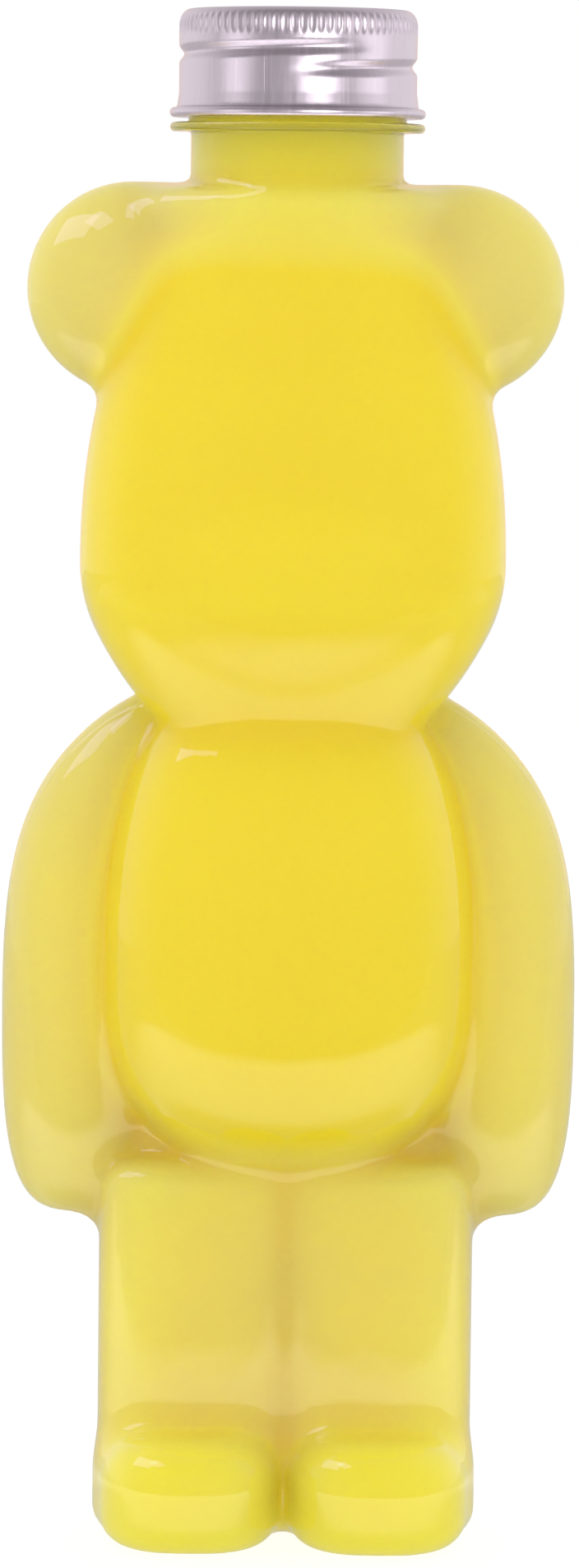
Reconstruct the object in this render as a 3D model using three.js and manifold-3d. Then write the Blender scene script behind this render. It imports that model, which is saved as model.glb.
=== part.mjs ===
// A drinks bottle in the shape of a standing bear: one blow-moulded clear plastic shell, closed by
// an aluminium screw cap with a foam liner. Millimetres, +Z up, and the bear faces -Y.
// The origin is on the floor, below the middle of the bottle.
import * as THREE from "three";
import { mergeGeometries, mergeVertices } from "three/addons/utils/BufferGeometryUtils.js";
import Module from "manifold-3d";

// Heights of the figure, stacked up from the floor
const legHeight = 57;
const torsoHeight = 79.5;
const headHeight = 85.5;
const neckLength = 8.2;
const throatZ = legHeight + torsoHeight;
const shoulderZ = throatZ + headHeight;
const ringBottomZ = shoulderZ + neckLength;

// Walls of the blown shell
const wall = 0.7;
const neckWall = 1.9;

// Legs: two rounded posts that meet on the middle line
const legHalfWidth = 15.5;
const legHalfDepth = 15;
const legSetBack = 2;
const legOverlap = 0.1;
const legSquareness = 3.6;
const legTopRadius = 5;
const soleRadius = 4.5;
const legX = legHalfWidth - legOverlap;

// Feet: low rounded toes in front of the legs
const toeReach = 28;
const footHeight = 21;
const footHalfWidth = 15;
const footBack = 12;
const footRoundness = 2.6;
const footTopRadius = 10;
const footY = -8;

// Hips: an egg that fills the space between the legs, the torso and the arms
const hipHalfWidth = 31;
const hipFront = 12;
const hipBack = 13;
const hipSetBack = 2;
const hipBelowLegTop = 14;
const hipWideBelowLegTop = 1;
const hipAboveLegTop = 24;
const hipRoundness = 2.6;

// Torso: an egg with its belly forward
const torsoHalfWidth = 31.4;
const bellyReach = 28;
const torsoBack = 27;
const bellyRise = 33;
const torsoSink = 7;
const torsoReachIntoHead = 19.5;
const torsoRoundness = 2.2;

// Arms: tapered lobes that hang beside the torso and lean in at the shoulder
const figureHalfWidth = 47.4;
const armHalfWidth = 12.5;
const armHalfDepth = 12.5;
const armSetBack = 4;
const armBottomBelowLegTop = 5;
const armWideRise = 31;
const armTopAboveThroat = 3;
const armLean = 14;
const armLeanPower = 4;
const pawFullness = 2.6;

// Head: an egg with full cheeks, a low snout and two round ears
const headHalfWidth = 34.9;
const headFront = 24.5;
const headBack = 28;
const headSink = 10.5;
const cheekRise = 23.5;
const headRoundness = 2.2;
const domeFullness = 2.15;
const snoutHalfWidth = 19;
const snoutHalfHeight = 13;
const snoutReach = 28;
const snoutBackFromReach = 13;
const snoutRoot = 8;
const earRadius = 17.3;
const earHalfDepth = 12;
const earSpread = 26.6;
const earSetBack = 1;

// Crown: the flat shoulder between the ears that carries the neck
const crownHalfWidth = 27;
const crownHalfDepth = 18.6;
const crownDepth = 46;
const crownWideBelowTop = 7;
const crownFlatness = 5;

// Neck finish
const neckRadius = 17.35;
const neckRoot = 16;
const finishStep = 0.45;
const ringReach = 3.45;
const ringThickness = 1.5;
const rimRadius = 0.6;
const finishRadius = neckRadius + finishStep;
const boreRadius = neckRadius - neckWall;
const ringRadius = neckRadius + ringReach;
const ringTopZ = ringBottomZ + ringThickness;

// Screw thread that the cap follows
const threadLead = 3.6;
const threadTurns = 1.15;
const threadHeight = 0.75;
const threadClearance = 0.45;
const beadClearance = 0.4;
const beadHalfWidth = 1.5;
const ridgeHalfWidth = 1;
const ridgeCrest = 0.35;
const ridgeRoot = 0.3;
const beadRise = 7.4;
const beadStartAngle = THREE.MathUtils.degToRad(-100);
const beadFadeAngle = THREE.MathUtils.degToRad(45);

// Cap, liner and how they seat
const capHeight = 17.5;
const capGap = 0.8;
const sheet = 0.4;
const seatGap = 0.1;
const capEdgeRadius = 1.4;
const skirtFlare = 0.25;
const hemRadius = 0.8;
const linerThickness = 1.3;
const fluteCount = 84;
const fluteHeight = 3.2;
const fluteWidth = 1.15;
const fluteDepth = 0.22;
const fluteBelowTop = 2.5;

const capInnerRadius = finishRadius + threadHeight + threadClearance;
const capRadius = capInnerRadius + sheet;
const beadDepth = threadHeight + threadClearance - beadClearance;
const hemZ = ringTopZ + capGap;
const capTopZ = hemZ + capHeight;
const linerTopZ = capTopZ - sheet - seatGap;
const rimZ = linerTopZ - linerThickness - seatGap;

const weldDistance = 1e-4;

// Facets: the hidden inside of the shell is drawn coarser than its outside
const eggSteps = 6;
const insideEggSteps = 4;
const filletSteps = 3;
const insideFilletSteps = 2;
const insideShare = 0.55;
const capSegments = 42;
const beadRings = 8;
const hemSteps = 2;
const ridgeSteps = 44;

// Solids
const wasm = await Module();
wasm.setup();

function toSolid(geometry) {
  const bare = geometry.clone();
  bare.deleteAttribute("normal");
  bare.deleteAttribute("uv");
  const merged = mergeVertices(bare, weldDistance);
  return new wasm.Manifold(
    new wasm.Mesh({
      numProp: 3,
      vertProperties: merged.attributes.position.array,
      triVerts: new Uint32Array(merged.index.array),
    }),
  );
}

function toGeometry(solid) {
  const mesh = solid.getMesh();
  const geometry = new THREE.BufferGeometry();
  geometry.setAttribute("position", new THREE.BufferAttribute(mesh.vertProperties, 3));
  geometry.setIndex(new THREE.BufferAttribute(mesh.triVerts, 1));
  geometry.computeVertexNormals();
  return geometry;
}

const join = (solids) => solids.reduce((sum, solid) => sum.add(solid));

// Revolves a profile of [radius, height] points about Z. The profile runs up the outside.
function revolve(profile, segments) {
  const points = profile.map(([radius, height]) => new THREE.Vector2(radius, height));
  return new THREE.LatheGeometry(points, segments).rotateX(Math.PI / 2);
}

// Points of a quarter arc from angle `from`, a quarter turn on, about [radius, height].
function arc(radius, height, size, from, steps = filletSteps) {
  return Array.from({ length: steps + 1 }, (_, i) => {
    const angle = from + ((Math.PI / 2) * i) / steps;
    return [radius + size * Math.cos(angle), height + size * Math.sin(angle)];
  });
}

const powered = (value, power) => Math.sign(value) * Math.abs(value) ** power;

// Revolves a unit profile and stretches it to the form's half width, front and back depth and lean.
function stretch(profile, form, inset) {
  const segments = inset ? 2 * Math.round((form.segments * insideShare) / 2) : form.segments;
  const geometry = revolve(profile, segments);
  const position = geometry.attributes.position;
  const power = 2 / form.squareness;
  for (let i = 0; i < position.count; i++) {
    const [x, y, z] = [position.getX(i), position.getY(i), position.getZ(i)];
    const scale = Math.hypot(x, y);
    const angle = Math.atan2(y, x);
    const depth = (y < 0 ? form.front : form.back) - inset;
    const lean = form.lean ? form.lean(z) : 0;
    const across = scale * (form.halfWidth - inset) * powered(Math.cos(angle), power);
    const along = scale * depth * powered(Math.sin(angle), power);
    position.setXYZ(i, form.side * (form.x - lean + across), form.y + along, z);
  }
  if (form.side < 0) geometry.index.array.reverse();
  return toSolid(geometry);
}

// An egg: widest at `wide`, closing to a pole at `low` and at `high`, fuller as its powers rise.
function egg(form, inset) {
  const steps = inset ? insideEggSteps : eggSteps;
  const below = Array.from({ length: steps + 1 }, (_, i) => {
    const angle = (Math.PI / 2) * (1 - i / steps);
    const drop = (form.wide - form.low - inset) * Math.sin(angle) ** (2 / form.fullBelow);
    return [Math.cos(angle) ** (2 / form.fullBelow), form.wide - drop];
  });
  const above = Array.from({ length: steps }, (_, i) => {
    const angle = (Math.PI / 2) * ((i + 1) / steps);
    const rise = (form.high - form.wide - inset) * Math.sin(angle) ** (2 / form.fullAbove);
    return [Math.cos(angle) ** (2 / form.fullAbove), form.wide + rise];
  });
  below[0][0] = 0;
  above.at(-1)[0] = 0;
  return stretch([...below, ...above], form, inset);
}

// A post: straight sides between a flat sole and a flat top, both with rounded edges.
function post(form, inset) {
  const steps = inset ? insideFilletSteps : filletSteps;
  const scale = 1 / (form.halfWidth - inset);
  const low = form.low + inset;
  const high = form.high - inset;
  const sole = (form.soleRadius - inset) * scale;
  const crest = (form.topRadius - inset) * scale;
  const unitArc = (centre, size, from) =>
    arc(1 - size, 0, size, from, steps).map(([radius, rise]) => [radius, centre + rise / scale]);
  const profile = [
    [0, low],
    ...unitArc(low + sole / scale, sole, -Math.PI / 2),
    ...unitArc(high - crest / scale, crest, 0),
    [0, high],
  ];
  return stretch(profile, form, inset);
}

// The figure's forms, each written once and used for the outside and, inset by the wall, the inside
const egged = (form) => ({ x: 0, y: 0, side: 1, fullAbove: 2, fullBelow: 2, shape: egg, ...form });
const posted = (form) => ({ x: 0, y: 0, side: 1, shape: post, low: 0, ...form });
const sides = [-1, 1];

const head = egged({
  halfWidth: headHalfWidth,
  front: headFront,
  back: headBack,
  low: throatZ - headSink,
  wide: throatZ + cheekRise,
  high: shoulderZ,
  fullAbove: domeFullness,
  squareness: headRoundness,
  segments: 36,
});

const snout = egged({
  y: -snoutReach + snoutBackFromReach,
  halfWidth: snoutHalfWidth,
  front: snoutBackFromReach,
  back: snoutRoot,
  low: throatZ + cheekRise - snoutHalfHeight,
  wide: throatZ + cheekRise,
  high: throatZ + cheekRise + snoutHalfHeight,
  squareness: 2,
  segments: 24,
});

const crown = egged({
  halfWidth: crownHalfWidth,
  front: crownHalfDepth,
  back: crownHalfDepth,
  low: shoulderZ - crownDepth,
  wide: shoulderZ - crownWideBelowTop,
  high: shoulderZ,
  fullAbove: crownFlatness,
  squareness: 2,
  segments: 28,
});

const torso = egged({
  halfWidth: torsoHalfWidth,
  front: bellyReach,
  back: torsoBack,
  low: legHeight - torsoSink,
  wide: legHeight + bellyRise,
  high: throatZ + torsoReachIntoHead,
  squareness: torsoRoundness,
  segments: 36,
});

const hips = egged({
  y: hipSetBack,
  halfWidth: hipHalfWidth,
  front: hipFront,
  back: hipBack,
  low: legHeight - hipBelowLegTop,
  wide: legHeight - hipWideBelowLegTop,
  high: legHeight + hipAboveLegTop,
  squareness: hipRoundness,
  segments: 32,
});

const ear = (side) =>
  egged({
    side,
    x: earSpread,
    y: earSetBack,
    halfWidth: earRadius,
    front: earHalfDepth,
    back: earHalfDepth,
    low: shoulderZ - 2 * earRadius,
    wide: shoulderZ - earRadius,
    high: shoulderZ,
    squareness: 2,
    segments: 22,
  });

function arm(side) {
  const wide = legHeight + armWideRise;
  const high = throatZ + armTopAboveThroat;
  const lean = (z) => armLean * Math.max(0, (z - wide) / (high - wide)) ** armLeanPower;
  return egged({
    side,
    x: figureHalfWidth - armHalfWidth,
    y: armSetBack,
    halfWidth: armHalfWidth,
    front: armHalfDepth,
    back: armHalfDepth,
    low: legHeight - armBottomBelowLegTop,
    wide,
    high,
    lean,
    fullBelow: pawFullness,
    squareness: 2,
    segments: 20,
  });
}

const leg = (side) =>
  posted({
    side,
    x: legX,
    y: legSetBack,
    halfWidth: legHalfWidth,
    front: legHalfDepth,
    back: legHalfDepth,
    high: legHeight,
    soleRadius,
    topRadius: legTopRadius,
    squareness: legSquareness,
    segments: 28,
  });

const foot = (side) =>
  posted({
    side,
    x: legX,
    y: footY,
    halfWidth: footHalfWidth,
    front: toeReach + footY,
    back: footBack,
    high: footHeight,
    soleRadius,
    topRadius: footTopRadius,
    squareness: footRoundness,
    segments: 24,
  });

const pairs = sides.flatMap((side) => [ear(side), arm(side), leg(side), foot(side)]);
const figure = [head, snout, crown, torso, hips, ...pairs];
const moulded = (inset) => join(figure.map((form) => form.shape(form, inset)));

// The neck with its support ring, solid until the bore is cut
function neck(segments) {
  const half = ringThickness / 2;
  const ringEdge = ringRadius - half;
  return toSolid(
    revolve(
      [
        [0, shoulderZ - neckRoot],
        [neckRadius, shoulderZ - neckRoot],
        [neckRadius, ringBottomZ],
        ...arc(ringEdge, ringBottomZ + half, half, -Math.PI / 2),
        ...arc(ringEdge, ringBottomZ + half, half, 0).slice(1),
        [finishRadius, ringTopZ],
        ...arc(finishRadius - rimRadius, rimZ - rimRadius, rimRadius, 0),
        [0, rimZ],
      ],
      segments,
    ),
  );
}

// The thread on the finish: a ridge that winds half a lead above the cap's bead and fades at its ends
function threadRidge() {
  const length = 2 * Math.PI * threadTurns;
  const corners = 4;
  const points = [];
  const index = [];
  for (let i = 0; i <= ridgeSteps; i++) {
    const along = (length * i) / ridgeSteps;
    const angle = beadStartAngle + along;
    const z = hemZ + beadRise + threadLead * (0.5 + along / (2 * Math.PI));
    const fade = Math.min(1, along / beadFadeAngle, (length - along) / beadFadeAngle);
    const crest = finishRadius + threadHeight * fade - (fade ? 0 : ridgeRoot / 2);
    const root = finishRadius - ridgeRoot;
    const section = [
      [root, -ridgeHalfWidth],
      [crest, -ridgeCrest],
      [crest, ridgeCrest],
      [root, ridgeHalfWidth],
    ];
    for (const [radius, rise] of section)
      points.push(radius * Math.cos(angle), radius * Math.sin(angle), z + rise);
    if (i === 0) continue;
    const [here, before] = [i * corners, (i - 1) * corners];
    for (let j = 0; j < corners; j++) {
      const k = (j + 1) % corners;
      index.push(before + j, here + j, here + k, before + j, here + k, before + k);
    }
  }
  const end = ridgeSteps * corners;
  index.push(0, 1, 2, 0, 2, 3, end, end + 2, end + 1, end, end + 3, end + 2);
  const geometry = new THREE.BufferGeometry();
  geometry.setAttribute("position", new THREE.Float32BufferAttribute(points, 3));
  geometry.setIndex(index);
  return toSolid(geometry);
}

function bore(segments) {
  const mouthZ = rimZ + capHeight;
  const rootZ = shoulderZ - neckRoot + wall;
  return toSolid(revolve([[0, rootZ], [boreRadius, rootZ], [boreRadius, mouthZ], [0, mouthZ]], segments));
}

const neckSegments = 48;
const bottleSolid = moulded(0)
  .add(neck(neckSegments))
  .add(threadRidge())
  .subtract(moulded(wall).add(bore(neckSegments)));

// Depth of the rolled thread bead at a place on the skirt: a helix that fades in and out at its ends
function beadAt(angle, z) {
  const length = 2 * Math.PI * threadTurns;
  const first = THREE.MathUtils.euclideanModulo(angle - beadStartAngle, 2 * Math.PI);
  let depth = 0;
  for (let along = first; along < length; along += 2 * Math.PI) {
    const centre = hemZ + beadRise + (threadLead * along) / (2 * Math.PI);
    const off = Math.min(1, Math.abs(z - centre) / beadHalfWidth);
    const fade = Math.min(1, along / beadFadeAngle, (length - along) / beadFadeAngle);
    depth = Math.max(depth, (beadDepth * fade * (1 + Math.cos(Math.PI * off))) / 2);
  }
  return depth;
}

// The drawn cap: top, rounded edge, skirt with the rolled thread, and a hem curled outwards
function capSolid() {
  const beadLow = hemZ + beadRise - beadHalfWidth;
  const beadHigh = hemZ + beadRise + threadLead * threadTurns + beadHalfWidth;
  const skirt = (radius) =>
    Array.from({ length: beadRings }, (_, i) => [
      radius,
      THREE.MathUtils.lerp(beadLow, beadHigh, i / (beadRings - 1)),
    ]);
  const hemInner = capInnerRadius + skirtFlare;
  const hemCentre = hemInner + hemRadius;
  const hem = (from) => arc(hemCentre, hemZ + hemRadius, hemRadius, from, hemSteps);
  const edge = capTopZ - capEdgeRadius;
  const profile = [
    [0, capTopZ - sheet],
    ...arc(capRadius - capEdgeRadius, edge, capEdgeRadius - sheet, 0).reverse(),
    ...skirt(capInnerRadius).reverse(),
    [hemInner, hemZ + 2 * hemRadius],
    ...hem(Math.PI),
    ...hem(-Math.PI / 2).slice(1),
    ...hem(0).slice(1),
    [capRadius + skirtFlare, hemZ + 2 * hemRadius + sheet],
    ...skirt(capRadius),
    ...arc(capRadius - capEdgeRadius, edge, capEdgeRadius, 0),
    [0, capTopZ],
  ];
  const geometry = revolve(profile, capSegments);
  const position = geometry.attributes.position;
  for (let i = 0; i < position.count; i++) {
    const [x, y, z] = [position.getX(i), position.getY(i), position.getZ(i)];
    const radius = Math.hypot(x, y);
    if (radius < capInnerRadius - sheet || z < beadLow || z > beadHigh) continue;
    const scale = 1 - beadAt(Math.atan2(y, x), z) / radius;
    position.setXYZ(i, x * scale, y * scale, z);
  }
  return toSolid(geometry);
}

// The finger grip: a ring of lens-shaped flutes pressed into the cap's upper edge
function flutes() {
  const lens = new THREE.SphereGeometry(1, 4, 4);
  const reach = 2 * fluteDepth;
  lens.scale(reach, fluteWidth / 2, fluteHeight / 2);
  lens.translate(capRadius + reach - fluteDepth, 0, capTopZ - fluteBelowTop);
  const ring = Array.from({ length: fluteCount }, (_, i) =>
    lens.clone().rotateZ((2 * Math.PI * (i + 0.5)) / fluteCount),
  );
  return toSolid(mergeGeometries(ring));
}

// The foam liner fills the inside of the cap's top, out to its rounded corner
function linerSolid() {
  const low = linerTopZ - linerThickness;
  const corner = capEdgeRadius - sheet - seatGap;
  const cornerCentre = capRadius - capEdgeRadius;
  return toSolid(
    revolve(
      [
        [0, low],
        [cornerCentre + corner, low],
        ...arc(cornerCentre, linerTopZ - corner, corner, 0),
        [0, linerTopZ],
      ],
      capSegments,
    ),
  );
}

// Materials
const clearPlastic = new THREE.MeshStandardMaterial({
  color: 0xf3e7a8,
  roughness: 0.08,
  metalness: 0,
  transparent: true,
  opacity: 0.45,
});
const aluminium = new THREE.MeshStandardMaterial({ color: 0xc9c3cb, roughness: 0.32, metalness: 1 });
const foam = new THREE.MeshStandardMaterial({ color: 0xf2f0ea, roughness: 0.85, metalness: 0 });

function piece(name, solid, material) {
  const mesh = new THREE.Mesh(toGeometry(solid), material);
  mesh.name = name;
  return mesh;
}

const bottle = new THREE.Group();
bottle.add(
  piece("bottle_shell", bottleSolid, clearPlastic),
  piece("cap_liner", linerSolid(), foam),
  piece("screw_cap", capSolid().subtract(flutes()), aluminium),
);

export default bottle;
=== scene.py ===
"""Bear-shaped drinks bottle: a clear shell full of yellow drink, with an aluminium screw cap."""

import math

import bpy
import numpy as np
from mathutils import Matrix, Vector


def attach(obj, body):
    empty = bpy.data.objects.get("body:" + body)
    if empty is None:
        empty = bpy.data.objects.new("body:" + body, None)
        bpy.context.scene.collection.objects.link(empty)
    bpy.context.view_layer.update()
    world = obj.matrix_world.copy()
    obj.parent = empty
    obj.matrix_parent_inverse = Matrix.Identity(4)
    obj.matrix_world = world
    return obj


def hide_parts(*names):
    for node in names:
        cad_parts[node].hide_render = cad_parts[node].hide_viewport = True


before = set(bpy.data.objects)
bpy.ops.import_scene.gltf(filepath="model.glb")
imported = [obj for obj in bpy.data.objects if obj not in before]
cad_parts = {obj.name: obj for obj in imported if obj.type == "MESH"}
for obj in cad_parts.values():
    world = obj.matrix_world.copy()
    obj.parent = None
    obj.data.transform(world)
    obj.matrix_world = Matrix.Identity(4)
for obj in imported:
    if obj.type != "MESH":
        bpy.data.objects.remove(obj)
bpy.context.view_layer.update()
scene = bpy.context.scene

# Sizes in millimetres, as in the part's source
MM = 0.001
LEG_HEIGHT, TORSO_HEIGHT, HEAD_HEIGHT, NECK_LENGTH = 57.0, 79.5, 85.5, 8.2
THROAT = LEG_HEIGHT + TORSO_HEIGHT
SHOULDER = THROAT + HEAD_HEIGHT
CHEEK = THROAT + 23.5
WALL = 0.7
SOLE_RADIUS = 4.5
NECK_RADIUS, NECK_WALL, NECK_ROOT = 17.35, 1.9, 16.0
BORE_RADIUS = NECK_RADIUS - NECK_WALL
FINISH_RADIUS = NECK_RADIUS + 0.45
RING_RADIUS, RING_THICKNESS = NECK_RADIUS + 3.45, 1.5
RING_LOW = SHOULDER + NECK_LENGTH
RING_HIGH = RING_LOW + RING_THICKNESS
CAP_GAP, CAP_HEIGHT, SHEET, SEAT_GAP = 0.8, 17.5, 0.4, 0.1
HEM = RING_HIGH + CAP_GAP
CAP_TOP = HEM + CAP_HEIGHT
LINER_THICKNESS = 1.3
LINER_TOP = CAP_TOP - SHEET - SEAT_GAP
LINER_LOW = LINER_TOP - LINER_THICKNESS
RIM = LINER_LOW - SEAT_GAP
THREAD_LEAD, THREAD_TURNS, THREAD_HEIGHT, THREAD_CLEARANCE = 3.6, 1.15, 0.75, 0.45
THREAD_START, THREAD_FADE = math.radians(-100), math.radians(45)
BEAD_CLEARANCE, BEAD_HALF_WIDTH, BEAD_RISE = 0.4, 1.5, 7.4
BEAD_DEPTH = THREAD_HEIGHT + THREAD_CLEARANCE - BEAD_CLEARANCE
RIDGE_HALF_WIDTH, RIDGE_RISE = 1.0, BEAD_RISE + THREAD_LEAD / 2
CAP_INNER = FINISH_RADIUS + THREAD_HEIGHT + THREAD_CLEARANCE
CAP_RADIUS = CAP_INNER + SHEET
SKIRT_FLARE, HEM_RADIUS = 0.25, 0.8
FLUTES = 84

# Sizes that only the visual has: rounded edges of the neck finish, and the drink's surface
RING_FILLET, SEAT_FILLET, LIP_OUTER, LIP_INNER = 0.5, 0.4, 0.6, 0.4
FILL, MENISCUS, SOAK = RING_HIGH + 6.0, 1.5, 0.05

# The figure's forms. Each is an egg or a post, drawn on the right-hand side where there are two.
HEAD = dict(width=34.9, front=24.5, back=28.0, low=THROAT - 6, wide=CHEEK, high=SHOULDER,
            above=2.15, section=2.2)
SNOUT = dict(y=-15.0, width=19.0, front=11.8, back=8.0, low=CHEEK - 13, wide=CHEEK, high=CHEEK + 13)
JAW = dict(y=-8.0, width=26.0, front=15.0, back=10.0, low=THROAT - 13.5, wide=CHEEK - 6,
           high=CHEEK - 2)
CROWN = dict(width=27.0, front=18.6, back=18.6, low=SHOULDER - 46, wide=SHOULDER - 7, high=SHOULDER,
             above=5.0)
EAR = dict(x=26.6, y=1.0, width=17.3, front=12.0, back=12.0, low=SHOULDER - 34.6,
           wide=SHOULDER - 17.3, high=SHOULDER)
TORSO = dict(width=31.4, front=28.0, back=27.0, low=LEG_HEIGHT + 3, wide=LEG_HEIGHT + 35,
             high=THROAT + 8, above=2.4, below=2.4, section=2.2)
ARM = dict(x=34.9, y=4.0, width=12.5, front=12.5, back=12.5, low=LEG_HEIGHT - 5,
           wide=LEG_HEIGHT + 31, high=THROAT + 3, below=3.3, lean=14.0)
HIPS = dict(y=2.0, width=31.0, front=8.0, back=13.0, low=LEG_HEIGHT - 14, wide=LEG_HEIGHT - 1,
            high=LEG_HEIGHT + 24, section=2.6)
LEG = dict(x=15.4, y=2.0, width=15.5, inner=18.5, front=15.0, back=15.0, high=LEG_HEIGHT + 5,
           crest=5.0, section=3.6)
FOOT = dict(x=15.4, y=-8.0, width=15.0, inner=15.0, front=20.0, back=12.0, high=18.0,
            crest=8.0, section=2.6)
LEAN_POWER = 4.0

# How softly the forms run into each other
MELT_LEGS, MELT_FOOT, MELT_HIP, MELT_ARM = 2.5, 4.5, 5.0, 5.0
MELT_SNOUT, MELT_JAW, MELT_CROWN, MELT_EAR, MELT_THROAT = 8.0, 9.0, 8.0, 3.5, 3.0
MELT_NECK, MELT_BORE = 2.2, 4.0

# Mesh steps, and the box in which the skin is looked for
NECK_CUT = SHOULDER + 4.0
SEARCH_LOW, SEARCH_HIGH = np.array([-51.0, -32.0, -3.0]), np.array([51.0, 32.0, NECK_CUT])
OUTER_STEP, INNER_STEP = ((1.25, 1.7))
NECK_SEGMENTS, CAP_SEGMENTS = 192, FLUTES * 8
FULL_TURN = 2 * math.pi
TINY = 1e-6
MIRROR = np.array([-1.0, 1.0, 1.0])


# Fields: each gives about how far points are from a form, and less than zero inside it
def egg(p, x=0.0, y=0.0, width=1.0, front=1.0, back=1.0, low=0.0, wide=0.5, high=1.0,
        above=2.0, below=2.0, section=2.0, lean=0.0):
    """An egg, widest at height wide, with its own depth in front and behind."""
    rise = np.clip((p[:, 2] - wide) / (high - wide), 0, None)
    dx = p[:, 0] - x + lean * rise ** LEAN_POWER
    dy = p[:, 1] - y
    dz = p[:, 2] - wide
    upper = dz > 0
    depth = np.where(dy < 0, front, back)
    height = np.where(upper, high - wide, wide - low)
    power = np.where(upper, above, below)
    plan = (np.abs(dx / width) ** section + np.abs(dy / depth) ** section) ** (1 / section)
    size = (plan ** power + np.abs(dz / height) ** power) ** (1 / power)
    return np.sqrt(dx * dx + dy * dy + dz * dz) * (1 - 1 / np.maximum(size, TINY))


def edged(side, end, radius):
    """The space inside both of two faces, with the edge between them rounded."""
    u, v = side + radius, end + radius
    return np.minimum(np.maximum(u, v), 0) + np.hypot(np.maximum(u, 0), np.maximum(v, 0)) - radius


def post(p, x, y, width, inner, front, back, high, crest, section):
    """An upright post with a rounded top and no floor, which may reach further inwards."""
    dx, dy = p[:, 0] - x, p[:, 1] - y
    reach = np.where(dx < 0, inner, width)
    depth = np.where(dy < 0, front, back)
    plan = (np.abs(dx / reach) ** section + np.abs(dy / depth) ** section) ** (1 / section)
    side = np.hypot(dx, dy) * (1 - 1 / np.maximum(plan, TINY))
    return edged(side, p[:, 2] - high, crest)


def tube(p, radius, low):
    """An upright round bar about the middle, from height low upwards."""
    return np.maximum(np.hypot(p[:, 0], p[:, 1]) - radius, low - p[:, 2])


def melt(a, b, size):
    """The union of two fields with a soft crease."""
    near = np.maximum(size - np.abs(a - b), 0) / size
    return np.minimum(a, b) - near * near * size / 4


def on_one_side(p):
    """The points, with those on the left brought over to the right."""
    return np.stack([np.abs(p[:, 0]), p[:, 1], p[:, 2]], 1)


def figure(p):
    """The bear's outside without its neck."""
    sided = on_one_side(p)
    right, left = (melt(post(q, **LEG), post(q, **FOOT), MELT_FOOT) for q in (p, p * MIRROR))
    body = melt(egg(p, **TORSO), egg(p, **HIPS), MELT_HIP)
    body = melt(body, melt(right, left, MELT_LEGS), MELT_HIP)
    body = melt(body, egg(sided, **ARM), MELT_ARM)
    head = melt(egg(p, **HEAD), egg(p, **JAW), MELT_JAW)
    head = melt(head, egg(p, **SNOUT), MELT_SNOUT)
    head = melt(head, egg(p, **CROWN), MELT_CROWN)
    head = melt(head, egg(sided, **EAR), MELT_EAR)
    return edged(melt(body, head, MELT_THROAT), -p[:, 2], SOLE_RADIUS)


def outside(p):
    """The outside of the shell up to the neck cut."""
    return melt(figure(p), tube(p, NECK_RADIUS, SHOULDER - NECK_ROOT), MELT_NECK)


def inside(p):
    """The inside of the shell up to the neck cut."""
    return melt(figure(p) + WALL, tube(p, BORE_RADIUS, SHOULDER - NECK_ROOT + WALL), MELT_BORE)


# Meshes
def surface_net(field, low, high, step):
    """Quads where the field is zero, facing the way it rises, open at the top of the box."""
    cells = [int(round((b - a) / step)) for a, b in zip(low, high)]
    xs, ys, zs = (np.linspace(a, b, n + 1) for a, b, n in zip(low, high, cells))
    gx, gy = (g.ravel() for g in np.meshgrid(xs, ys, indexing="ij"))
    grid = np.stack([field(np.stack([gx, gy, np.full(gx.size, z)], 1)) for z in zs], 1)
    grid = grid.reshape(len(xs), len(ys), len(zs))
    solid = grid < 0
    corners = [(i, j, k) for i in (0, 1) for j in (0, 1) for k in (0, 1)]
    count = sum(
        solid[i:i + cells[0], j:j + cells[1], k:k + cells[2]].astype(int) for i, j, k in corners
    )
    mixed = (count > 0) & (count < len(corners))
    at = np.argwhere(mixed)
    number = np.full(cells, -1)
    number[mixed] = np.arange(len(at))

    # One point in each cell that the surface crosses: the middle of the crossings on its edges
    total, hits = np.zeros((len(at), 3)), np.zeros(len(at))
    for corner in corners:
        for axis in range(3):
            if corner[axis]:
                continue
            far = np.array(corner)
            far[axis] = 1
            a, b = grid[tuple((at + corner).T)], grid[tuple((at + far).T)]
            cut = (a < 0) != (b < 0)
            point = (at + corner).astype(float)[cut]
            point[:, axis] += a[cut] / (a[cut] - b[cut])
            total[cut] += point
            hits[cut] += 1
    spacing = (high - low) / cells
    verts = total / hits[:, None] * spacing + low

    # One quad round each edge of the grid that the surface crosses
    quads = []
    for axis in range(3):
        e, f = (axis + 1) % 3, (axis + 2) % 3
        near, far = [slice(1, -1)] * 3, [slice(1, -1)] * 3
        near[axis], far[axis] = slice(0, -1), slice(1, None)
        a, b = solid[tuple(near)], solid[tuple(far)]
        for flip, crossed in ((1, a & ~b), (-1, b & ~a)):
            edge = np.argwhere(crossed)
            edge[:, [e, f]] += 1
            ring = []
            for back_e, back_f in ((1, 1), (0, 1), (0, 0), (1, 0)):
                cell = edge.copy()
                cell[:, e] -= back_e
                cell[:, f] -= back_f
                ring.append(number[tuple(cell.T)])
            quads.append(np.stack(ring, 1)[:, ::flip])
    return verts, np.concatenate(quads)


def slope(field, p, reach=0.02):
    """Which way the field rises at each point, and how steeply."""
    grad = np.empty_like(p)
    for axis in range(3):
        step = np.zeros(3)
        step[axis] = reach
        grad[:, axis] = (field(p + step) - field(p - step)) / (2 * reach)
    return grad


def facing(field, p):
    """The way out of the field at each point, one unit long."""
    grad = slope(field, p)
    return grad / np.linalg.norm(grad, axis=1)[:, None]


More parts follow.
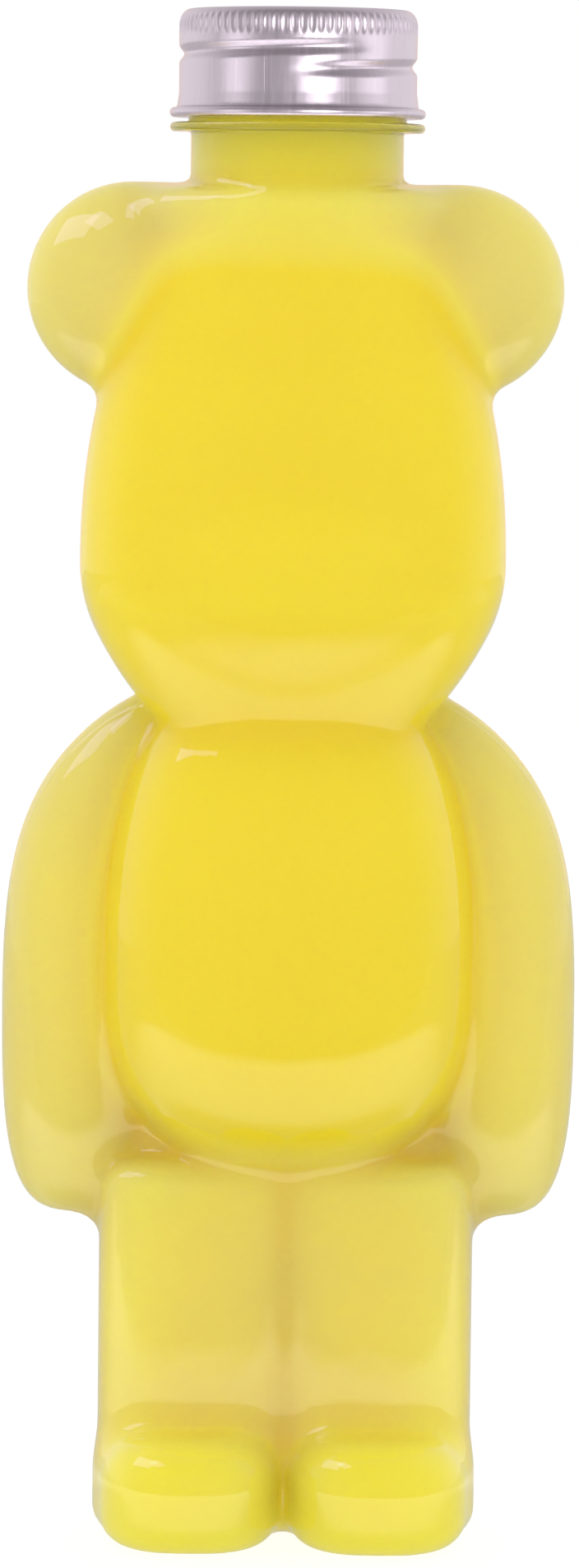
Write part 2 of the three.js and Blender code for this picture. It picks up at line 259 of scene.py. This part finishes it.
def drawn_in(field, verts, times=2):
    """The points brought onto the field's zero."""
    for _ in range(times):
        grad = slope(field, verts)
        verts = verts - grad * (field(verts) / (grad * grad).sum(1))[:, None]
    return verts


def settle(field, verts, quads, rounds=4, ease=0.6):
    """Spreads the points evenly over the field's zero. Returns them and the open edges."""
    edges = np.sort(np.concatenate([quads[:, [i, (i + 1) % 4]] for i in range(4)]), 1)
    edges, uses = np.unique(edges, axis=0, return_counts=True)
    rim = edges[uses == 1]
    degree = np.bincount(edges.ravel(), minlength=len(verts))[:, None]
    verts = drawn_in(field, verts)
    for _ in range(rounds):
        total = np.zeros_like(verts)
        np.add.at(total, edges[:, 0], verts[edges[:, 1]])
        np.add.at(total, edges[:, 1], verts[edges[:, 0]])
        move = total / degree - verts
        normal = facing(field, verts)
        move -= normal * (move * normal).sum(1)[:, None]
        move[rim.ravel()] = 0
        verts = drawn_in(field, verts + ease * move)
    return verts, rim


def skin(field, step):
    """The field's zero below the neck cut, and the points of its open top in order of angle."""
    verts, quads = surface_net(field, SEARCH_LOW, SEARCH_HIGH, step)
    verts, rim = settle(field, verts, quads)
    loop = np.unique(rim)
    loop = loop[np.argsort(np.arctan2(verts[loop, 1], verts[loop, 0]))]
    return verts, quads, loop


def lathe(profile, segments, shift=None):
    """Points and quads of a profile turned about Z. Shift says how far out each point moves."""
    profile = np.asarray(profile, float)
    angle = -math.pi + FULL_TURN * np.arange(segments) / segments
    radius = np.repeat(profile[:, :1], segments, 1)
    height = np.repeat(profile[:, 1:2], segments, 1)
    turn = np.repeat(angle[None], len(profile), 0)
    if shift is not None:
        radius = radius + shift(turn, radius, height)
    verts = np.stack([radius * np.cos(turn), radius * np.sin(turn), height], 2).reshape(-1, 3)
    row = np.arange(len(profile) - 1)[:, None] * segments
    here = np.arange(segments)
    after = (here + 1) % segments
    quads = np.stack([row + here, row + after, row + segments + after, row + segments + here], 2)
    return verts, quads.reshape(-1, 4)


def zip_loops(verts, lower, upper):
    """Triangles between two rings about Z, each in order of angle, facing outwards."""
    def angles(loop):
        a = np.arctan2(verts[loop, 1], verts[loop, 0])
        return np.append(a, a[0] + FULL_TURN)
    low_angle, high_angle = angles(lower), angles(upper)
    i = j = 0
    faces = []
    while i < len(lower) or j < len(upper):
        a, b = lower[i % len(lower)], upper[j % len(upper)]
        low_next = low_angle[i + 1] if i < len(lower) else math.inf
        high_next = high_angle[j + 1] if j < len(upper) else math.inf
        if low_next <= high_next:
            i += 1
            faces.append((a, lower[i % len(lower)], b))
        else:
            j += 1
            faces.append((a, upper[j % len(upper)], b))
    return np.array(faces)


def arc(radius, height, size, start, end, steps):
    """Profile points of an arc about (radius, height), between two angles in degrees."""
    return [
        (radius + size * math.cos(a), height + size * math.sin(a))
        for a in np.radians(np.linspace(start, end, steps + 1))
    ]


def straight(radius, low, high, step):
    """Profile points of an upright stretch, without its first one."""
    count = max(1, round(abs(high - low) / step))
    return [(radius, z) for z in np.linspace(low, high, count + 1)[1:]]


def disc(height, *radii):
    """Profile points of a flat stretch."""
    return [(radius, height) for radius in radii]


def helix(turn, height, rise, half_width):
    """How much of a thread there is at an angle and height: from 0 to 1, fading at its ends."""
    length = FULL_TURN * THREAD_TURNS
    first = np.mod(turn - THREAD_START, FULL_TURN)
    best = np.zeros_like(height)
    for lap in (0, 1):
        along = first + FULL_TURN * lap
        off = np.abs(height - HEM - rise - THREAD_LEAD * along / FULL_TURN) / half_width
        fade = np.clip(np.minimum(along, length - along) / THREAD_FADE, 0, 1)
        fade = fade * fade * (3 - 2 * fade)
        best = np.maximum(best, fade * (1 + np.cos(np.pi * np.minimum(off, 1))) / 2)
    return best


def make_piece(name, verts, faces, materials, body, node=None, finish=None):
    """A smooth mesh that rides on a body. Finish gives each face's number in the materials."""
    mesh = bpy.data.meshes.new(name)
    mesh.from_pydata((verts * MM).tolist(), [], faces)
    mesh.polygons.foreach_set("use_smooth", [True] * len(mesh.polygons))
    for material in materials:
        mesh.materials.append(material)
    if finish is not None:
        mesh.polygons.foreach_set("material_index", finish)
    mesh.update()
    piece = bpy.data.objects.new(name, mesh)
    scene.collection.objects.link(piece)
    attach(piece, body)
    if node:
        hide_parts(node)
    return piece


# Materials
class Graph:
    """The nodes of a material or of the world, with short ways to add them."""

    def __init__(self, owner):
        owner.use_nodes = True
        self.nodes, self.link = owner.node_tree.nodes, owner.node_tree.links.new

    def feed(self, node, inputs):
        """Sets each input to a number or colour, or links it to another node's output."""
        for name, value in inputs.items():
            if isinstance(value, bpy.types.NodeSocket):
                self.link(value, node.inputs[name])
            else:
                node.inputs[name].default_value = value
        return node

    def add(self, kind, inputs):
        return self.feed(self.nodes.new("ShaderNode" + kind), inputs)

    def place(self):
        """Where a point is on its piece, in metres."""
        return self.add("TexCoord", {}).outputs["Object"]

    def split(self, vector):
        """The X, Y and Z of a vector."""
        return self.add("SeparateXYZ", {"Vector": vector}).outputs

    def math(self, operation, *values):
        node = self.add("Math", {})
        node.operation = operation
        return self.feed(node, dict(enumerate(values))).outputs["Value"]

    def blend(self, share, plain, other):
        """Plain where share is 0, other where it is 1."""
        return self.math("MULTIPLY_ADD", self.math("SUBTRACT", other, plain), share, plain)

    def map_range(self, value, low, high, to_low, to_high):
        """Turns low to high into to_low to to_high, and stops at both ends."""
        return self.add("MapRange", {
            "Value": value, "From Min": low, "From Max": high, "To Min": to_low, "To Max": to_high,
        }).outputs["Result"]

    def noise(self, where, scale, detail=2.0):
        return self.add("TexNoise", {
            "Vector": where, "Scale": scale, "Detail": detail,
        }).outputs["Fac"]

    def bump(self, height, distance, strength, below=None):
        node = self.add("Bump", {"Height": height, "Distance": distance, "Strength": strength})
        if below is not None:
            self.link(below, node.inputs["Normal"])
        return node.outputs["Normal"]

    def ramp(self, value, stops):
        """A colour that runs through the stops, each a place from 0 to 1 and its colour."""
        node = self.add("ValToRGB", {"Fac": value})
        elements = node.color_ramp.elements
        elements[0].position, elements[0].color = stops[0]
        elements[1].position, elements[1].color = stops[-1]
        for position, colour in stops[1:-1]:
            elements.new(position).color = colour
        return node.outputs["Color"]


def new_material(name):
    material = bpy.data.materials.new(name)
    graph = Graph(material)
    return material, graph, graph.nodes["Principled BSDF"]


PLASTIC_IOR, DRINK_IOR = 1.5, 1.34
PLASTIC_TINT = (1.0, 0.995, 0.985, 1)
# Drink colours for the painted depth shading, from thin and pale to thick and deep
PALE_YELLOW = (0.81, 0.715, 0.23, 1)
MID_YELLOW = (0.95, 0.83, 0.165, 1)
DEEP_YELLOW = (0.985, 0.785, 0.05, 1)
DARK_METAL, LIGHT_METAL = (0.69, 0.60, 0.68, 1), (0.75, 0.655, 0.74, 1)
# The foam's pits get a painted shade, darker than the rest of the foam
SHADED_PIT_WHITE, FOAM_WHITE = (0.78, 0.77, 0.72, 1), (0.90, 0.89, 0.85, 1)
# Name of the point attribute that holds the drink's painted depth shading
PAINTED_DEPTH_ATTRIBUTE = "depth"


def clear_plastic(name, ior):
    """Blown plastic: a gently uneven, glossy wall with a fine mould line down both sides."""
    material, graph, shader = new_material(name)
    where = graph.place()
    rub = graph.noise(where, scale=900.0, detail=3.0)
    uneven = graph.bump(graph.noise(where, scale=55.0), distance=0.0006, strength=0.35)
    from_seam = graph.math("ABSOLUTE", graph.split(where)["Y"])
    seam = graph.map_range(from_seam, low=0.0, high=0.00035, to_low=1.0, to_high=0.0)
    graph.feed(shader, {
        "Base Color": PLASTIC_TINT,
        "IOR": ior,
        "Transmission Weight": 1.0,
        "Roughness": graph.map_range(rub, low=0.45, high=0.75, to_low=0.015, to_high=0.07),
        "Normal": graph.bump(seam, distance=0.0002, strength=0.5, below=uneven),
    })
    return material


def yellow_drink():
    """A cloudy drink with painted depth shading: deeper yellow where the way through it is longer,
    paler in thin parts, with faint drifts in it.
    """
    material, graph, shader = new_material("drink")
    # Painted shade: the colour is read from the depth shading painted on the drink's points, plus a
    # little random drift
    depth = graph.add("Attribute", {})
    depth.attribute_name = PAINTED_DEPTH_ATTRIBUTE
    cloud = graph.noise(graph.place(), scale=32.0, detail=4.0)
    drift = graph.map_range(cloud, low=0.3, high=0.7, to_low=-0.03, to_high=0.03)
    shade_and_drift = graph.math("ADD", depth.outputs["Fac"], drift)
    stops = [(0.40, PALE_YELLOW), (0.55, MID_YELLOW), (0.75, DEEP_YELLOW)]
    graph.feed(shader, {
        "Base Color": graph.ramp(shade_and_drift, stops),
        "Roughness": 0.25,
        "IOR": 1.05,
        "Subsurface Weight": 1.0,
        "Subsurface Scale": 0.02,
        "Subsurface Radius": (1.0, 0.95, 0.3),
    })
    return material


def aluminium():
    """Drawn aluminium: fine upright streaks, a few slanted scratches and a pinkish grey tone."""
    material, graph, shader = new_material("aluminium")
    where = graph.split(graph.place())
    turn = graph.math("ARCTAN2", where["Y"], where["X"])
    around = graph.math("MULTIPLY", turn, CAP_RADIUS * MM)
    unrolled = graph.add("CombineXYZ", {"X": around, "Y": where["Z"]}).outputs["Vector"]

    def streaks(squeeze, slant, scale):
        mapping = graph.add("Mapping", {
            "Vector": unrolled, "Rotation": (0, 0, slant), "Scale": (1, squeeze, 1),
        })
        return graph.noise(mapping.outputs["Vector"], scale, detail=3.0)

    drawn = streaks(squeeze=0.06, slant=0.0, scale=1600.0)
    slanted = streaks(squeeze=0.04, slant=0.5, scale=1100.0)
    scratch = graph.map_range(slanted, low=0.70, high=0.78, to_low=0.0, to_high=1.0)
    scratch_gloss, top_edge = 0.1, CAP_TOP - 0.3
    rough = graph.map_range(drawn, low=0.3, high=0.7, to_low=0.28, to_high=0.40)
    duller_top = graph.map_range(
        where["Z"], low=top_edge * MM, high=CAP_TOP * MM, to_low=0.0, to_high=0.2
    )
    rough = graph.math("ADD", rough, duller_top)
    brushed = graph.bump(drawn, distance=0.00002, strength=0.3)
    graph.feed(shader, {
        "Base Color": graph.ramp(drawn, [(0.3, DARK_METAL), (0.7, LIGHT_METAL)]),
        "Metallic": 1.0,
        "Roughness": graph.math("MULTIPLY_ADD", scratch, -scratch_gloss, rough),
        "Normal": graph.bump(scratch, distance=0.00003, strength=0.6, below=brushed),
    })
    return material


def liner_foam():
    """Closed-cell foam: off-white, with fine pits painted a little darker as shade."""
    material, graph, shader = new_material("liner_foam")
    cells = graph.add("TexVoronoi", {"Vector": graph.place(), "Scale": 2200.0})
    pits = cells.outputs["Distance"]
    # Painted shade: the pits are darker where the bump sinks in
    graph.feed(shader, {
        "Base Color": graph.ramp(pits, [(0.1, SHADED_PIT_WHITE), (0.6, FOAM_WHITE)]),
        "Roughness": 0.8,
        "Normal": graph.bump(pits, distance=0.0001, strength=0.6),
    })
    return material


def painted_depth_shade(p, reach=28.0, full=52.0, step=2.5, way_share=0.35, blend=1.5):
    """Painted depth shading for the drink, from 0 to 1 at each point: deeper where light's way
    through the drink is longer. It comes from the form that the point lies on, and from the way
    through the drink from front to back."""
    # Painted shade from the length of the way through the drink along Y, front to back
    way = np.zeros(len(p))
    for y in np.arange(-reach, reach + step, step):
        probe = np.stack([p[:, 0], np.full(len(p), y), p[:, 2]], 1)
        way += np.clip(0.5 - inside(probe) / step, 0, 1) * step
    sided = on_one_side(p)
    pale_belly, belly_low, belly_fade, head_spread = 0.6, LEG_HEIGHT + 6.0, 14.0, 2.5
    up_belly = np.clip((p[:, 2] - belly_low) / belly_fade, 0, 1)
    # Each form's painted shade: the head deepest; the crown, ears, arms, legs and lower belly paler
    forms = [
        (1.0, egg(p, **HEAD) - head_spread),
        (1.0, egg(p, **SNOUT)),
        (1.0, egg(p, **JAW)),
        (0.42, egg(p, **CROWN)),
        (0.42, egg(sided, **EAR)),
        (pale_belly + (1 - pale_belly) * up_belly, egg(p, **TORSO)),
        (0.5, egg(sided, **ARM)),
        (0.6, egg(p, **HIPS)),
        (0.5, post(sided, **LEG)),
        (0.6, post(sided, **FOOT)),
        (0.78, tube(p, NECK_RADIUS, SHOULDER - NECK_ROOT)),
    ]
    nearest = np.min([field for _, field in forms], axis=0)
    weights = [np.exp((nearest - field) / blend) for _, field in forms]
    by_form = sum(depth * weight for (depth, _), weight in zip(forms, weights)) / sum(weights)
    return way_share * np.clip(way / full, 0, 1) + (1 - way_share) * by_form


# The shell: the bear's skin outside and inside, joined by the turned neck finish
def neck_profile():
    """From the neck cut up the outside, over the lip and down the bore to the neck cut again."""
    ring_round = RING_THICKNESS / 2
    return [
        (NECK_RADIUS, NECK_CUT),
        *straight(NECK_RADIUS, NECK_CUT, RING_LOW - RING_FILLET, 1.2),
        *arc(NECK_RADIUS + RING_FILLET, RING_LOW - RING_FILLET, RING_FILLET, 180, 90, 4)[1:],
        *arc(RING_RADIUS - ring_round, RING_LOW + ring_round, ring_round, -90, 90, 10),
        *arc(FINISH_RADIUS + SEAT_FILLET, RING_HIGH + SEAT_FILLET, SEAT_FILLET, 270, 180, 3),
        *straight(FINISH_RADIUS, RING_HIGH + SEAT_FILLET, RIM - LIP_OUTER, 0.35),
        *arc(FINISH_RADIUS - LIP_OUTER, RIM - LIP_OUTER, LIP_OUTER, 0, 90, 5)[1:],
        *arc(BORE_RADIUS + LIP_INNER, RIM - LIP_INNER, LIP_INNER, 90, 180, 4),
        *straight(BORE_RADIUS, RIM - LIP_INNER, NECK_CUT, 2.0),
    ]


def neck_thread(turn, radius, z):
    on_finish = np.abs(radius - FINISH_RADIUS) < TINY
    return THREAD_HEIGHT * helix(turn, z, RIDGE_RISE, RIDGE_HALF_WIDTH) * on_finish


def bottle_shell(inner, inner_quads, inner_loop):
    outer, outer_quads, outer_loop = skin(outside, OUTER_STEP)
    profile = neck_profile()
    neck, neck_quads = lathe(profile, NECK_SEGMENTS, neck_thread)
    verts = np.concatenate([outer, inner, neck])
    inner_from, neck_from = len(outer), len(outer) + len(inner)
    neck_quads += neck_from
    bottom_ring = neck_from + np.arange(NECK_SEGMENTS)
    bore_ring = len(verts) - NECK_SEGMENTS + np.arange(NECK_SEGMENTS)
    # Where the wall is wet, light bends only by the step from plastic to drink
    wet_rows = sum(r < BORE_RADIUS + TINY and z < FILL + MENISCUS for r, z in profile[1:])
    wet_from = len(neck_quads) - wet_rows * NECK_SEGMENTS
    dry, wet = 0, 1
    surfaces = [
        (dry, outer_quads),
        (wet, (inner_quads + inner_from)[:, ::-1]),
        (dry, neck_quads[:wet_from]),
        (wet, neck_quads[wet_from:]),
        (dry, zip_loops(verts, outer_loop, bottom_ring)),
        (wet, zip_loops(verts, inner_loop + inner_from, bore_ring)[:, ::-1]),
    ]
    faces = [face for _, surface in surfaces for face in surface.tolist()]
    finish = [side for side, surface in surfaces for _ in surface]
    materials = [
        clear_plastic("clear_plastic", PLASTIC_IOR),
        clear_plastic("clear_plastic_wet", PLASTIC_IOR / DRINK_IOR),
    ]
    return make_piece(
        "bottle", verts, faces, materials, "bottle", "bottle_shell", finish
    )


def drink_inside(inner, inner_quads, inner_loop):
    # The drink reaches a hair into the wall, so that there is no air between them
    wet = inner + SOAK * facing(inside, inner)
    radius = BORE_RADIUS + SOAK
    column = [
        (radius, NECK_CUT),
        *straight(radius, NECK_CUT, FILL + MENISCUS, 1.5),
        *arc(radius - MENISCUS, FILL + MENISCUS, MENISCUS, 0, -90, 6)[1:],
        *disc(FILL, 0.7 * radius, 0.4 * radius, 0.15 * radius, 0.0),
    ]
    top, top_quads = lathe(column, NECK_SEGMENTS)
    verts = np.concatenate([wet, top])
    ring = len(wet) + np.arange(NECK_SEGMENTS)
    faces = [
        *inner_quads.tolist(),
        *(top_quads + len(wet)).tolist(),
        *zip_loops(verts, inner_loop, ring).tolist(),
    ]
    drink = make_piece("drink", verts, faces, [yellow_drink()], "bottle")
    # The painted depth shading, kept on the drink's points for its colour
    depth = drink.data.attributes.new(PAINTED_DEPTH_ATTRIBUTE, "FLOAT", "POINT")
    depth.data.foreach_set("value", painted_depth_shade(verts))


# The cap: drawn sheet with pressed flutes, a rolled thread and a curled hem
SKIRT_LOW, FLARE_TOP = HEM + 2 * HEM_RADIUS + SHEET, HEM + 4.0
EDGE_WIDE, EDGE_HIGH = 1.9, 2.6
FLUTE_PITCH = FULL_TURN / FLUTES
FLUTE_MIDDLE, FLUTE_DEPTH = CAP_TOP - 2.5, 0.26
FLUTE_HALF_WIDTH, FLUTE_HALF_HEIGHT = 0.66, 1.8
PLAIN_TOP, PLAIN_FADE, PRESSED_FROM = CAP_TOP - 5.0, 2.0, CAP_INNER - 1.5


def cap_profile():
    """From the middle of the underside out and down the inside, round the hem and up to the top."""
    edge = [
        (CAP_RADIUS - EDGE_WIDE * (1 - math.cos(a)), CAP_TOP - EDGE_HIGH * (1 - math.sin(a)))
        for a in np.radians(np.linspace(0, 90, 15))
    ]
    hem_centre = CAP_INNER + SKIRT_FLARE + HEM_RADIUS
    flared = [
        (CAP_RADIUS + SKIRT_FLARE * (1 - (z - SKIRT_LOW) / (FLARE_TOP - SKIRT_LOW)), z)
        for z in np.linspace(SKIRT_LOW, FLARE_TOP, 6)
    ]
    under = CAP_TOP - SHEET
    return [
        *disc(under, 0.0, 6.0, 12.0, 16.5),
        *[(r - SHEET, min(z, under)) for r, z in edge[::-3]][1:],
        *straight(CAP_INNER, CAP_TOP - EDGE_HIGH, FLARE_TOP, 0.4)[:-1],
        *[(r - SHEET, z) for r, z in flared[::-1]],
        *arc(hem_centre, HEM + HEM_RADIUS, HEM_RADIUS, 180, 470, 22),
        *flared,
        *straight(CAP_RADIUS, FLARE_TOP, CAP_TOP - EDGE_HIGH, 0.3),
        *edge[1:],
        *disc(CAP_TOP, 16.6, 15.8, 12.0, 8.0, 4.0, 0.0),
    ]


def cap_pressing(turn, radius, z):
    """How far the sheet is pressed in: by the thread, the flutes and a few faint dents."""
    bead = helix(turn, z, BEAD_RISE, BEAD_HALF_WIDTH)
    off = (np.mod(turn, FLUTE_PITCH) - FLUTE_PITCH / 2) * CAP_RADIUS
    up = z - FLUTE_MIDDLE
    flute = np.clip(1 - (off / FLUTE_HALF_WIDTH) ** 2 - (up / FLUTE_HALF_HEIGHT) ** 2, 0, 1)
    dents = 0.02 * np.sin(5 * turn + 0.4) + 0.012 * np.sin(9 * turn + 0.25 * z) - 0.032
    plain = np.clip((PLAIN_TOP - z) / PLAIN_FADE, 0, 1)
    plain = plain * np.clip((z - SKIRT_LOW) / PLAIN_FADE, 0, 1)
    return (dents * plain - BEAD_DEPTH * bead - FLUTE_DEPTH * flute) * (radius > PRESSED_FROM)


def screw_cap():
    verts, quads = lathe(cap_profile(), CAP_SEGMENTS, cap_pressing)
    return make_piece("cap", verts, quads.tolist(), [aluminium()], "cap", "screw_cap")


def cap_liner():
    radius, top_corner, low_corner = CAP_INNER - SEAT_GAP, 0.9, 0.15
    profile = [
        *disc(LINER_LOW, 0.0, 6.0, 12.0, BORE_RADIUS - 0.5),
        *arc(radius - low_corner, LINER_LOW + low_corner, low_corner, -90, 0, 3),
        *arc(radius - top_corner, LINER_TOP - top_corner, top_corner, 0, 90, 6),
        *disc(LINER_TOP, 12.0, 6.0, 0.0),
    ]
    verts, quads = lathe(profile, NECK_SEGMENTS)
    make_piece("liner", verts, quads.tolist(), [liner_foam()], "liner", "cap_liner")


# Stage, in metres: a white floor and a white world, dimmer in front where the room is
WHITE, BLACK, BLUSH = (1, 1, 1, 1), (0, 0, 0, 1), (1.0, 0.8, 0.66, 1)
FLOOR_GREY = (0.35, 0.35, 0.35, 1)
FLOOR_FRONT, FLOOR_BACK, FLOOR_SIDE, FLOOR_DROP = -0.18, 1.6, 1.2, -0.00005
FLOOR_GLOW, FLOOR_GLOW_THROUGH, FLOOR_GLOW_DIFFUSE = 0.85, 1.1, 0.25
# Glow of the painted pool of light in front, and of the painted shade around it
POOL_GLOW, POOL_AROUND, POOL_WIDENING = 1.3, 0.4, 0.45
ROOM_GLOW, STUDIO_GLOW, OVERHEAD_SHARE = 0.45, 0.95, 0.6
BEHIND_GLOW, FAR_BEHIND_GLOW = 1.65, 0.9
FAR_BEHIND = 0.85, 0.97


def studio_world():
    """White to the camera; for the rest bright all round, but dimmer in front, overhead and far
    behind, where it is also pinkish."""
    world = bpy.data.worlds.new("studio")
    scene.world = world
    graph = Graph(world)
    path = graph.add("LightPath", {}).outputs
    towards = graph.split(graph.add("TexCoord", {}).outputs["Generated"])
    seen, behind = path["Is Camera Ray"], towards["Y"]
    around = graph.map_range(behind, -0.3, 0.3, ROOM_GLOW, STUDIO_GLOW)
    overhead = graph.map_range(towards["Z"], 0.3, 0.9, 1.0, OVERHEAD_SHARE)
    mirrored = graph.math("MULTIPLY", around, overhead)
    through = graph.map_range(behind, *FAR_BEHIND, BEHIND_GLOW, FAR_BEHIND_GLOW)
    level = graph.blend(path["Is Transmission Ray"], mirrored, through)
    unseen = graph.math("SUBTRACT", behind, seen)
    graph.feed(graph.nodes["Background"], {
        "Color": graph.ramp(unseen, list(zip(FAR_BEHIND, (WHITE, BLUSH)))),
        "Strength": graph.math("MAXIMUM", level, seen),
    })


def white_floor():
    """A floor that glows white and keeps the shadow. In the bottle's gloss it shows a painted pool
    of light in front, with painted shade close by the bottle and dimmer far off."""
    material, graph, shader = new_material("floor")
    path = graph.add("LightPath", {}).outputs
    where = graph.place()
    squeezed = graph.add("Mapping", {"Vector": where, "Scale": (POOL_WIDENING, 1.0, 1.0)})
    apart = graph.add("VectorMath", {})
    apart.operation = "LENGTH"
    graph.feed(apart, {0: squeezed.outputs["Vector"]})
    # Painted pool of light on the floor's glow, seen only in gloss: dark close to the bottle as
    # painted shadow, bright in a ring, dim far off
    painted_pool = graph.ramp(apart.outputs["Value"], [
        (0.033, BLACK), (0.045, WHITE), (0.148, WHITE), (0.178, BLACK),
    ])
    in_front = graph.map_range(graph.split(where)["Y"], -0.06, 0.06, POOL_GLOW, 0.0)
    image = graph.math("MULTIPLY_ADD", painted_pool, in_front, POOL_AROUND)
    through = path["Is Transmission Ray"]
    plain = graph.map_range(through, 0.0, 1.0, FLOOR_GLOW, FLOOR_GLOW_THROUGH)
    plain = graph.math("MULTIPLY_ADD", path["Is Diffuse Ray"], FLOOR_GLOW_DIFFUSE, plain)
    mirrored = graph.math("SUBTRACT", path["Is Glossy Ray"], through)
    graph.feed(shader, {
        "Base Color": FLOOR_GREY,
        "Roughness": 0.9,
        "Emission Color": WHITE,
        "Emission Strength": graph.blend(mirrored, plain, image),
    })
    mesh = bpy.data.meshes.new("floor")
    sides = ((-1, FLOOR_FRONT), (1, FLOOR_FRONT), (1, FLOOR_BACK), (-1, FLOOR_BACK))
    corners = [(side * FLOOR_SIDE, y, FLOOR_DROP) for side, y in sides]
    mesh.from_pydata(corners, [], [(0, 1, 2, 3)])
    mesh.materials.append(material)
    floor = bpy.data.objects.new("floor", mesh)
    scene.collection.objects.link(floor)


def mirrored_light(name, start, end, width, target, radiance, piece, colour=(1.0, 1.0, 1.0)):
    """A strip of light along a line, turned to a point, that shows only in one piece's gloss."""
    start, end = Vector(start), Vector(end)
    middle, along = (start + end) / 2, (end - start).normalized()
    out = middle - Vector(target)
    out = (out - along * out.dot(along)).normalized()
    data = bpy.data.lights.new(name, "AREA")
    data.shape, data.size, data.size_y = "RECTANGLE", (end - start).length, width
    data.energy = radiance * math.pi * data.size * width
    data.color = colour
    light = bpy.data.objects.new(name, data)
    scene.collection.objects.link(light)
    turn = Matrix((along, out.cross(along), out)).transposed()
    light.matrix_world = Matrix.Translation(middle) @ turn.to_4x4()
    light.visible_camera = light.visible_diffuse = light.visible_transmission = False
    lit = bpy.data.collections.new(name)
    lit.objects.link(piece)
    light.light_linking.receiver_collection = lit


DAYLIGHT = (0.45, 0.4, 1.0)
WINDOW_WIDTH, WINDOW_RADIANCE = 0.3, 3.2
WINDOW_LINE = (-0.28, -0.225, 0.865), (-0.432, -0.276, 0.786), (-0.632, 0.144, 0.631)
HEAD_MIDDLE, CAP_MIDDLE = (0.0, 0.0, 0.17), (0.0, 0.0, 0.24)
CAP_STRIP_LOW, CAP_STRIP_HIGH = 0.16, 0.29


def lamps(bottle, cap):
    """A bluish window that bends round the bottle, and three upright strips for the cap."""
    for name, start, end in zip(("top_light", "left_light"), WINDOW_LINE, WINDOW_LINE[1:]):
        mirrored_light(
            name, start, end, WINDOW_WIDTH, HEAD_MIDDLE, WINDOW_RADIANCE, bottle, DAYLIGHT
        )
    for name, x, y, width, radiance in (
        ("cap_light", 0.075, -0.21, 0.085, 4.5),
        ("cap_right_light", 0.23, -0.07, 0.14, 0.9),
        ("cap_side_light", -0.18, -0.11, 0.09, 1.0),
    ):
        low, high = (x, y, CAP_STRIP_LOW), (x, y, CAP_STRIP_HIGH)
        mirrored_light(name, low, high, width, CAP_MIDDLE, radiance, cap)


AIM, EYE_DISTANCE, EYE_HEIGHT = Vector((-0.00017, 0, 0.1236)), 1.0, 0.215
HALF_FRAME, SENSOR, ROLL = 0.12845, 24.0, math.radians(0.62)


def camera():
    """A camera a metre off, near the height of the neck, that holds the photograph's frame."""
    data = bpy.data.cameras.new("camera")
    data.sensor_fit = "VERTICAL"
    data.sensor_height = data.sensor_width = SENSOR
    data.lens = SENSOR / 2 / (HALF_FRAME / EYE_DISTANCE)
    eye = Vector((AIM.x, -EYE_DISTANCE, EYE_HEIGHT))
    look = (AIM - eye).to_track_quat("-Z", "Y").to_matrix().to_4x4()
    cam = bpy.data.objects.new("camera", data)
    scene.collection.objects.link(cam)
    cam.matrix_world = Matrix.Translation(eye) @ look @ Matrix.Rotation(ROLL, 4, "Z")
    scene.camera = cam


inner_skin = skin(inside, INNER_STEP)
bottle = bottle_shell(*inner_skin)
drink_inside(*inner_skin)
cap = screw_cap()
cap_liner()
studio_world()
white_floor()
lamps(bottle, cap)
camera()
scene.view_settings.view_transform = "Standard"
